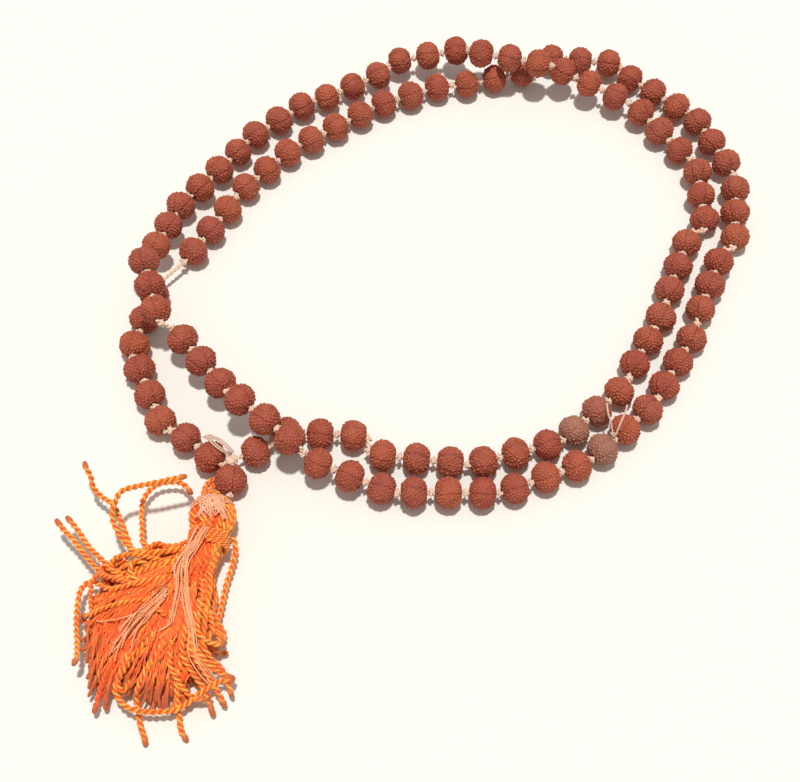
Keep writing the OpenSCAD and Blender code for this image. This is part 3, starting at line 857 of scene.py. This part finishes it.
class MALA_OT_thread(bpy.types.Operator):
    """Run the thread through every bead and tie the knots between them"""

    bl_idname = "mala.thread"
    bl_label = "Thread and Knots"

    INSIDE = 0.001  # How far inside a bore's end the thread still runs straight
    LONGEST, SHORTEST = 0.0014, 0.0006  # A knot along the thread
    PAIR_GAP = 0.004  # A space as wide as this holds two knots

    def execute(self, context):
        beads, thread = context.scene.mala_beads, context.scene.mala_thread
        layout = Layout(beads)
        self.look = thread_finish("bead_thread", tuple(thread.colour), tuple(thread.shade))
        self.string(layout, thread)
        self.knots(layout, thread)
        self.join(beads, thread)
        return {"FINISHED"}

    def string(self, layout, thread):
        marks = [JOIN]
        for k in range(1, layout.count + 1):
            near, far, inside = layout.end(k, -1), layout.end(k, 1), self.INSIDE * layout.way(k)
            if k > 1:
                marks.append((marks[-1] + near) / 2)
            marks += [near, near + inside, layout.at(k), far - inside, far]
        path = smooth(marks + [JOIN], STRING_RING)
        form = Form()
        twist(form, path, thread.diameter, STRING_TURN, corners=6)
        form.build("string", self.look, "strand", "bead_thread", ["strand_thread"])

    def knots(self, layout, thread):
        form = Form()
        rng = np.random.default_rng(3)
        narrow = min(self.LONGEST, layout.beads.pitch - layout.beads.length - 0.0002)
        for k in range(1, layout.count + 1):
            for i in range(layout.size(k) - 1):
                self.knot(form, (layout.bead(k, i) + layout.bead(k, i + 1)) / 2, layout.way(k),
                          narrow, thread, rng)
        for k in range(1, layout.count):
            start, end = layout.end(k, 1), layout.end(k + 1, -1)
            space = np.linalg.norm(end - start)
            length = min(self.LONGEST, max(self.SHORTEST, space - 0.0003))
            spots = [(start + end) / 2]
            if space >= self.PAIR_GAP:
                spots = [start + unit(end - start) * 0.001, end - unit(end - start) * 0.001]
            for spot in spots:
                self.knot(form, spot, end - start, length, thread, rng)
        form.build("knot_row", self.look, "strand", "bead_thread", ["knots"])

    def knot(self, form, at, way, length, thread, rng):
        size = thread.knot / 2 * rng.uniform(0.92, 1.08)
        ply = min(thread.diameter, length * 0.7)
        path = trefoil(at, way, size, length, ply)
        twist(form, path, ply, KNOT_TURN, start=rng.random() * 6, corners=6, tint=rng.random())

    def join(self, beads, thread):
        form = Form()
        below = GURU - np.array((0.0, beads.guru_length / 2 + 0.0006, 0.0))
        for turn in (0.0, 1.1):
            way = np.array((math.sin(turn), math.cos(turn), 0.3))
            twist(form, trefoil(JOIN, way, thread.join / 2, 0.0028, 0.001, 60), 0.001, 0.002)
        twist(form, smooth([JOIN, (JOIN + below) / 2 + (0, 0, 0.00005), below], STRING_RING),
              thread.diameter, STRING_TURN)
        twist(form, trefoil(below, (0.0, 1.0, 0.0), 0.0011, 0.0009, 0.0006), 0.0006, 0.0016)
        form.build("join_knot", self.look, "strand", "bead_thread", ["join_thread"])


class MALA_OT_fine_threads(bpy.types.Operator):
    """Add the fine loops at the join and the loose tails on the right of the string"""

    bl_idname = "mala.fine_threads"
    bl_label = "Fine Threads"

    def execute(self, context):
        thread = context.scene.mala_thread
        look = thread_finish("fine_thread", (0.80, 0.56, 0.45, 1.0), tuple(thread.shade))
        loops, tails = Form(), Form()
        for drop, shift in ((0.0, (0.0, 0.0)), (0.0003, (0.0005, 0.0004))):
            route = np.array(LOOP_ROUTE) + (*shift, 0.0) - np.array((0.0, 0.0, drop))
            twist(loops, smooth(route, FINE_RING), thread.fine, FINE_TURN)
        loops.build("join_loops", look, "strand", "fine_thread", ["thread_loops"])
        for route in (TAIL_LEFT, TAIL_RIGHT):
            twist(tails, smooth(route, FINE_RING), thread.fine * 1.1, FINE_TURN, tip=0.0008)
        twist(tails, trefoil(np.array(TAIL_LEFT[0]), (0.7, 0.7, 0.2), 0.0009, 0.0012, 0.0005),
              0.0005, FINE_TURN)
        tails.build("tied_tails", look, "strand", "fine_thread", ["thread_tails"])
        return {"FINISHED"}


class MALA_OT_tassel_neck(bpy.types.Operator):
    """Make the neck's two cords and the knot that ties the tassel on"""

    bl_idname = "mala.tassel_neck"
    bl_label = "Tassel Neck and Tie"

    CORD, APART = 0.0014, 0.0015

    def execute(self, context):
        tassel = context.scene.mala_tassel
        look = cord_finish(tassel, "neck_cord")
        neck, tie = Form(), Form()
        for side in (-1, 1):
            route = np.array(NECK_ROUTE)
            way = np.gradient(route, axis=0)
            across = np.cross(way, UP)
            across /= np.linalg.norm(across, axis=1)[:, None]
            twist(neck, smooth(route + side * self.APART / 2 * across, CORD_RING), self.CORD,
                  tassel.turn, start=side)
        neck.build("neck", look, "strand", "tassel_cord", ["neck_cord"])
        twist(tie, trefoil(TIE, (0.2, 1.0, 0.3), 0.0013, 0.0022, 0.0009, 60), 0.0009, 0.002)
        tie.build("tie", look, "tie", "tassel_cord", ["tassel_tie"])
        return {"FINISHED"}


class MALA_OT_tassel_head(bpy.types.Operator):
    """Bend the cords over the head and bind them"""

    bl_idname = "mala.tassel_head"
    bl_label = "Tassel Head"

    TOP, MIDDLE, FOOT = 0.0019, 0.006, 0.0135  # Distances from the tie, along the head
    ROUND = 24  # Cords round the head
    CAP_THREADS = 40
    WRAP_START, WRAP_RISE, WRAP_TURNS = 0.0105, 0.0009, 4.0

    def execute(self, context):
        tassel, thread = context.scene.mala_tassel, context.scene.mala_thread
        self.cords(tassel)
        self.cap(tassel, thread)
        return {"FINISHED"}

    def at(self, along, angle, radius):
        """A point at a distance along the head, an angle round it and a radius from its axis."""
        lean = math.cos(angle) * HEAD_UP + math.sin(angle) * HEAD_SIDE
        return TIE + HEAD_WAY * along + lean * radius

    def profile(self, tassel, along):
        """Radius of the head's outside at a distance along it."""
        ball = tassel.head / 2
        inside = max(0.0, ball**2 - (along - self.MIDDLE) ** 2)
        return max(math.sqrt(inside), tassel.waist / 2 if along > self.MIDDLE else 0.0006)

    def cords(self, tassel):
        form = Form()
        rng = np.random.default_rng(17)
        stations = np.linspace(self.TOP, self.FOOT, 26)
        core = np.array([TIE + HEAD_WAY * a for a in stations])
        fat = [max(0.0008, self.profile(tassel, a) - 0.0012) for a in stations]
        way, side, up = frames(core)
        # The core's low relief gives it the painted shade colour, a dark filler in the gaps between
        # the head's cords.
        form.tube(core, side, up, fat, 24, relief=0.25, tip=0.0, tint=0.4)
        for n in range(self.ROUND):
            angle = math.tau * (n + rng.uniform(-0.2, 0.2)) / self.ROUND
            lean = rng.uniform(-0.35, 0.35)
            route = []
            for part in np.linspace(0.0, 1.0, 9):
                along = self.TOP + (self.FOOT - self.TOP) * part
                radius = self.profile(tassel, along) - tassel.cord / 2
                route.append(self.at(along, angle + lean * part, max(radius, 0.0012)))
            twist(form, smooth(route, CORD_RING), tassel.cord, tassel.turn,
                  start=rng.random() * 6, tint=0.5 + rng.uniform(-0.2, 0.3))
        form.build("head", cord_finish(tassel, "head_cord"), "tassel", "tassel_cord",
                   ["tassel_head"])

    def cap(self, tassel, thread):
        pale, wrap = Form(), Form()
        rng = np.random.default_rng(23)
        for _ in range(self.CAP_THREADS):
            turn, stop = rng.normal(0, 0.42, 3), rng.uniform(0.0058, 0.0088)
            begin = rng.uniform(0.0014, 0.0034)
            route = []
            for part in np.linspace(0.0, 1.0, 7):
                along = begin + (stop - begin) * part
                radius = self.profile(tassel, along) + thread.fine * rng.uniform(-0.3, 0.5)
                angle = turn[0] * (1 - part) ** 2 + 2 * turn[1] * part * (1 - part) + turn[2] * part**2
                route.append(self.at(along, angle, radius))
            twist(pale, smooth(route, 0.0003), thread.fine * 0.75, FINE_TURN,
                  start=rng.random() * 6, corners=5)
        pale.build("cap_threads",
                   thread_finish("cap_thread", tuple(thread.fine_colour), tuple(tassel.orange)),
                   "tassel", "fine_thread", ["bindings"])
        path = np.array([
            self.at(self.WRAP_START + self.WRAP_RISE * a / math.tau, a, tassel.waist / 2 + 0.00045)
            for a in np.linspace(0, self.WRAP_TURNS * math.tau, 90)])
        twist(wrap, smooth(path, CORD_RING), 0.0011, tassel.turn * 0.8)
        wrap.build("waist_wrap", cord_finish(tassel, "wrap_cord", 0.7), "tassel", "tassel_cord")


class MALA_OT_tassel_mass(bpy.types.Operator):
    """Spread the mass of cords below the waist over the floor"""

    bl_idname = "mala.tassel_mass"
    bl_label = "Tassel Cords"

    TINT_PLACES = (0.0, 0.2, 0.45, 0.75, 0.88, 1.0)  # From the left of the mass to its right
    TINTS = (0.42, 0.3, 0.06, 0.06, 0.6, 0.72)  # From red, near 0, to golden
    LOOSE_PLIES, MATTED_PLIES = 50, 170
    FAN_THREADS = (8, 4, 1, 7, 5)
    WAIST = 0.0128  # Distance from the tie to where the cords come out
    DEEP, WIDE = 0.0031, 0.003  # Half the bundle's height and width there
    LOWEST = 0.00085  # Middle of a cord that lies on the floor

    def execute(self, context):
        tassel, thread = context.scene.mala_tassel, context.scene.mala_thread
        rng = np.random.default_rng(29)
        look = cord_finish(tassel, "mass_cord", 0.8, 0.25)
        lower, upper, felt, strays, pale = Form(), Form(), Form(), Form(), Form()
        for n in range(tassel.cords):
            layer = (n + 0.5) / tassel.cords
            across = (n * 0.618034) % 1.0 if n % 5 else rng.uniform(0.18, 0.4)
            route = self.route(rng, across, layer**0.7)
            tint = float(np.interp(across, self.TINT_PLACES, self.TINTS))
            self.lay(lower if layer < 0.5 else upper, tassel, rng, route, tint)
        for route in STRAY_CORDS:
            self.lay(strays, tassel, rng, route, 0.55)
        for _ in range(self.LOOSE_PLIES):
            self.unravelled(strays, tassel, rng)
        for _ in range(self.MATTED_PLIES):
            self.matted(felt, tassel, rng)
        lower.build("cord_mass_low", look, "tassel", "tassel_cord", ["tassel_skirt"])
        upper.build("cord_mass_top", look, "tassel", "tassel_cord")
        felt.build("matted_plies", look, "tassel", "tassel_cord")
        strays.build("stray_cords", cord_finish(tassel, "stray_cord"), "tassel", "tassel_cord")
        self.fans(pale, thread, rng)
        pale.build("pale_fans", thread_finish("fan_thread", (0.95, 0.56, 0.30, 1.0),
                                              tuple(tassel.orange)), "tassel", "fine_thread")
        return {"FINISHED"}

    def fans(self, pale, thread, rng):
        """Fine pale threads that spread out over the mass."""
        for route, count in zip(PALE_FANS, self.FAN_THREADS):
            for _ in range(count):
                drift = rng.normal(0, 0.0007, 3) * (1, 1, 0.2)
                grow = np.linspace(0.5, 1.6, len(route))[:, None]
                shift = drift * grow + rng.normal(0, 0.00025, (len(route), 3))
                short = len(route) - rng.integers(0, 2)
                twist(pale, smooth((np.array(route) + shift)[:short], 0.0003), thread.fine * 0.8,
                      FINE_TURN, start=rng.random() * 6, corners=5)

    def route(self, rng, across, layer, wander=0.0013):
        """A line from the waist, between two guides, with a wander of its own."""
        guides = np.array(MASS_GUIDES)
        waist = TIE + HEAD_WAY * self.WAIST
        spot = np.clip(across + rng.normal(0, 0.03), 0, 1) * (len(guides) - 1)
        low = min(int(spot), len(guides) - 2)
        line = guides[low] + (guides[low + 1] - guides[low]) * (spot - low)
        line = line[0] + (line - line[0]) * rng.uniform(0.82, 1.04)
        wave = rng.normal(0, wander, line.shape) * np.linspace(0.2, 1.3, len(line))[:, None]
        line = line + wave * (1.0, 1.0, 0.35)
        line[:, 2] = np.maximum(self.LOWEST, self.LOWEST + (line[:, 2] - self.LOWEST) * layer)
        root = (waist + self.DEEP * (layer - 0.5) * 2 * HEAD_UP
                + self.WIDE * (0.5 - across) * 2 * HEAD_SIDE)
        return np.vstack([waist + (root - waist) * 0.9, root + HEAD_WAY * 0.002, line[1:]])

    def unravelled(self, form, tassel, rng):
        """A thin wavy ply that has come loose on top of the mass."""
        line = smooth(self.route(rng, rng.uniform(0.08, 0.8), 1.0), 0.0008)
        first = int(len(line) * rng.uniform(0.3, 0.7))
        part = line[first:first + rng.integers(9, 15)]
        swing = np.sin(np.arange(len(part)) * rng.uniform(0.9, 1.6)) * rng.uniform(0.0004, 0.0009)
        part = part + swing[:, None] * np.array((0.8, 0.5, 0.0)) + (0.0, 0.0, 0.0007)
        twist(form, smooth(part, MASS_RING), tassel.cord * 0.36, tassel.turn * 0.6, 0.0008,
              rng.random() * 6, rng.choice((0.1, 0.35, 0.95)), corners=5)

    def matted(self, form, tassel, rng):
        """A thin ply, fluffed out, that lies in the red middle of the mass."""
        line = self.route(rng, rng.uniform(0.2, 0.76), 1.0, 0.0007)
        line = smooth(line + (0.0, 0.0, 0.0006), 0.0008)
        first = int(len(line) * rng.uniform(0.34, 0.6))
        twist(form, smooth(line[first:], 0.0005), tassel.cord * rng.uniform(0.4, 0.62),
              tassel.turn * 1.3, 0.006, rng.random() * 6, rng.uniform(0.0, 0.22), corners=5)

    def lay(self, form, tassel, rng, route, tint):
        """A two-ply cord of the mass with a melted tip."""
        twist(form, smooth(route, MASS_RING), tassel.cord * rng.uniform(0.86, 0.98),
              tassel.turn * rng.uniform(0.75, 1.1), rng.uniform(0.0015, 0.004), rng.random() * 6,
              tint + rng.uniform(-0.25, 0.25), corners=6)


PIECES = [
    MALA_OT_stage, MALA_OT_loose_cords, MALA_OT_beads, MALA_OT_thread, MALA_OT_fine_threads,
    MALA_OT_tassel_neck, MALA_OT_tassel_head, MALA_OT_tassel_mass,
]


class MALA_PT_panel(bpy.types.Panel):
    """Sizes, colours and pieces of the mala"""

    bl_idname = "MALA_PT_panel"
    bl_label = "Mala"
    bl_space_type = "VIEW_3D"
    bl_region_type = "UI"
    bl_category = "Mala"

    def draw(self, context):
        for group in ("mala_beads", "mala_thread", "mala_tassel", "mala_stage"):
            box = self.layout.box()
            settings = getattr(context.scene, group)
            for name in settings.__annotations__:
                box.prop(settings, name)
        for piece in PIECES:
            self.layout.operator(piece.bl_idname)


SETTINGS = {
    "mala_beads": BeadSettings, "mala_thread": ThreadSettings,
    "mala_tassel": TasselSettings, "mala_stage": StageSettings,
}


def register():
    for name, group in SETTINGS.items():
        bpy.utils.register_class(group)
        setattr(bpy.types.Scene, name, bpy.props.PointerProperty(type=group))
    for piece in PIECES:
        bpy.utils.register_class(piece)
    bpy.utils.register_class(MALA_PT_panel)


def unregister():
    bpy.utils.unregister_class(MALA_PT_panel)
    for piece in reversed(PIECES):
        bpy.utils.unregister_class(piece)
    for name, group in SETTINGS.items():
        delattr(bpy.types.Scene, name)
        bpy.utils.unregister_class(group)


def main():
    register()
    for piece in PIECES:
        group, name = piece.bl_idname.split(".")
        getattr(getattr(bpy.ops, group), name)()


if __name__ == "__main__":
    main()
